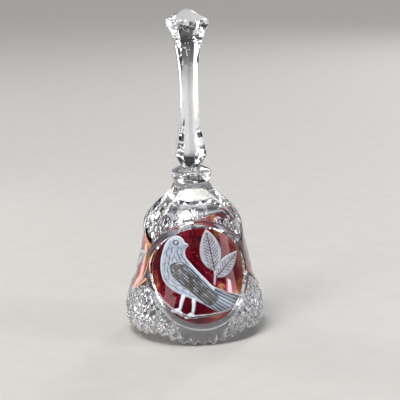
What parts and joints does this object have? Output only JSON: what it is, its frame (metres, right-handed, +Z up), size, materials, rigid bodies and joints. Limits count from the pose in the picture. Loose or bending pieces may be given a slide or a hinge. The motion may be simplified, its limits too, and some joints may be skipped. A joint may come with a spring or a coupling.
{
  "type": "glass hand bell",
  "caption": "Table hand bell of cut crystal with a faceted handle, ruby stained bird medallions and a crystal clapper hung on a wire chain.",
  "frame": {"origin": "on the bell's axis, at the height of the lowest rim teeth that it stands on", "axes": "+Z up along the bell's axis, -Y towards the front medallion, +X to the viewer's right"},
  "size_m": [0.096, 0.096, 0.225],
  "materials": {
    "clear_crystal": "clear polished lead crystal, mould pressed and wheel cut",
    "cut_crystal": "clear polished lead crystal with flat polished facets",
    "bond": "clear cured adhesive",
    "ruby_stain": "copper ruby stain, polished, a thin layer on the glass",
    "cement": "dull off-white cement",
    "wire": "nickel plated wire, polished",
    "cap_metal": "nickel plated stamped cap",
    "ball_crystal": "clear faceted crystal"
  },
  "bodies": {
    "bell": {"bell_body": "clear_crystal", "handle": "cut_crystal", "handle_bond": "bond", "ruby_front": "ruby_stain", "ruby_right": "ruby_stain", "ruby_left": "ruby_stain", "hanger_cement": "cement", "hanger_eye": "wire"},
    "link_1": {"link_1": "wire"},
    "link_2": {"link_2": "wire"},
    "link_3": {"link_3": "wire"},
    "link_4": {"link_4": "wire"},
    "link_5": {"link_5": "wire"},
    "link_6": {"link_6": "wire"},
    "link_7": {"link_7": "wire"},
    "clapper": {"clapper_pin": "wire", "clapper_cap_upper": "cap_metal", "clapper_ball": "ball_crystal", "clapper_cap_lower": "cap_metal"}
  },
  "joints": [
    {"name": "link_1_swing", "type": "hinge", "parent": "bell", "child": "link_1", "pos_m": [0, 0, 0.088], "axis": [1, 0, 0], "range_deg": [-9, 9]},
    {"name": "link_2_swing", "type": "hinge", "parent": "link_1", "child": "link_2", "pos_m": [0, 0, 0.0826], "axis": [0, 1, 0], "range_deg": [-9, 9]},
    {"name": "link_3_swing", "type": "hinge", "parent": "link_2", "child": "link_3", "pos_m": [0, 0, 0.07715], "axis": [1, 0, 0], "range_deg": [-9, 9]},
    {"name": "link_4_swing", "type": "hinge", "parent": "link_3", "child": "link_4", "pos_m": [0, 0, 0.0717], "axis": [0, 1, 0], "range_deg": [-9, 9]},
    {"name": "link_5_swing", "type": "hinge", "parent": "link_4", "child": "link_5", "pos_m": [0, 0, 0.06625], "axis": [1, 0, 0], "range_deg": [-9, 9]},
    {"name": "link_6_swing", "type": "hinge", "parent": "link_5", "child": "link_6", "pos_m": [0, 0, 0.0608], "axis": [0, 1, 0], "range_deg": [-9, 9]},
    {"name": "link_7_swing", "type": "hinge", "parent": "link_6", "child": "link_7", "pos_m": [0, 0, 0.05535], "axis": [1, 0, 0], "range_deg": [-9, 9]},
    {"name": "clapper_swing", "type": "hinge", "parent": "link_7", "child": "clapper", "pos_m": [0, 0, 0.0499], "axis": [0, 1, 0], "range_deg": [-9, 9]}
  ]
}
